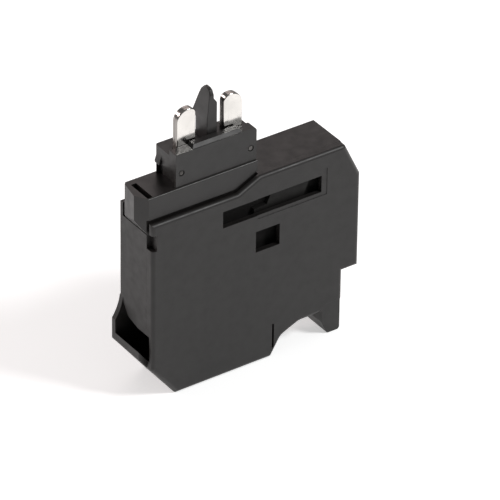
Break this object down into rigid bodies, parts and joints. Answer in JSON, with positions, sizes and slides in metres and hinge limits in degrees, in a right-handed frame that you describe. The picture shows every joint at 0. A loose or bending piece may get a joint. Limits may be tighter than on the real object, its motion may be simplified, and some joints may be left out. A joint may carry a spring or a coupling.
{
  "type": "plug-in circuit breaker",
  "caption": "Slim black plug-in circuit breaker: a moulded casing with a finger arch, two flat blade contacts, a locating pin and a press-to-reset button that springs out on a trip.",
  "frame": {"origin": "middle of the base, on the plane that the base and the foot stand on", "axes": "+X along the casing towards the foot, +Y from the front cover to the rear plate, +Z from the base up through the blades"},
  "size_m": [0.0576, 0.013, 0.0726],
  "materials": {
    "case_plastic": "black glass-filled nylon, fine moulded grain",
    "base_plastic": "black moulded nylon, slightly smoother than the case",
    "carrier_plastic": "black moulded nylon",
    "pin_plastic": "black moulded nylon",
    "button_plastic": "black moulded plastic",
    "slide_plastic": "natural thermoplastic",
    "baffle_plastic": "dark grey moulded plastic",
    "sheet_fibre": "black insulating fibre sheet",
    "flag_plastic": "red signal plastic",
    "nickel_plate": "bright nickel plate on brass",
    "rivet_steel": "dark oxide steel",
    "pin_steel": "ground steel",
    "latch_steel": "stamped steel",
    "spring_steel": "drawn spring wire",
    "bimetal": "rolled bimetal strip",
    "copper": "bare copper",
    "screw_brass": "turned brass",
    "silver": "silver alloy"
  },
  "bodies": {
    "case": {"main_case": "case_plastic", "front_cover": "case_plastic", "plug_base": "base_plastic", "carrier_front_shell": "carrier_plastic", "carrier_rear_shell": "carrier_plastic", "carrier_rivets": "rivet_steel", "locating_pin": "pin_plastic", "line_blade": "nickel_plate", "load_blade": "nickel_plate", "blade_rivets": "nickel_plate", "line_busbar": "copper", "load_busbar": "copper", "arm_bracket": "copper", "fixed_contact": "silver", "window_baffle": "baffle_plastic", "insulating_sheet": "sheet_fibre", "arm_pivot_pin": "pin_steel", "latch_pivot_pin": "pin_steel", "flag_pivot_pin": "pin_steel", "braid": "copper", "button_spring": "spring_steel", "contact_spring": "spring_steel", "latch_spring": "spring_steel"},
    "reset_slide": {"reset_button": "button_plastic", "trip_slide": "slide_plastic"},
    "moving_arm": {"contact_arm": "copper", "moving_contact": "silver"},
    "bimetal": {"bimetal_strip": "bimetal", "calibration_screw": "screw_brass"},
    "latch": {"trip_latch": "latch_steel"},
    "flag": {"trip_flag": "flag_plastic"}
  },
  "joints": [
    {"name": "reset_travel", "type": "slide", "parent": "case", "child": "reset_slide", "axis": [0, 0, -1], "range_m": [0, 0.003], "deforming": ["button_spring"]},
    {"name": "contact_open", "type": "hinge", "parent": "case", "child": "moving_arm", "pos_m": [-0.01115, 0, 0.0244], "axis": [0, 1, 0], "range_deg": [0, 6.94], "deforming": ["contact_spring", "braid"]},
    {"name": "bimetal_bend", "type": "hinge", "parent": "case", "child": "bimetal", "pos_m": [-0.00565, 0, 0.041], "axis": [0, 1, 0], "range_deg": [0, 4.09]},
    {"name": "latch_swing", "type": "hinge", "parent": "case", "child": "latch", "pos_m": [0.02325, 0, 0.0339], "axis": [0, 1, 0], "range_deg": [-17.21, 0], "deforming": ["latch_spring"]},
    {"name": "flag_swing", "type": "hinge", "parent": "case", "child": "flag", "pos_m": [0.01175, -0.00435, 0.0254], "axis": [0, 1, 0], "range_deg": [0, 50.01]}
  ],
  "couplings": [
    {"joint": "contact_open", "follows": "reset_travel", "rad_per_m": 40.323},
    {"joint": "bimetal_bend", "follows": "reset_travel", "rad_per_m": 23.71},
    {"joint": "latch_swing", "follows": "reset_travel", "rad_per_m": -100.07},
    {"joint": "flag_swing", "follows": "reset_travel", "rad_per_m": 290.89}
  ]
}
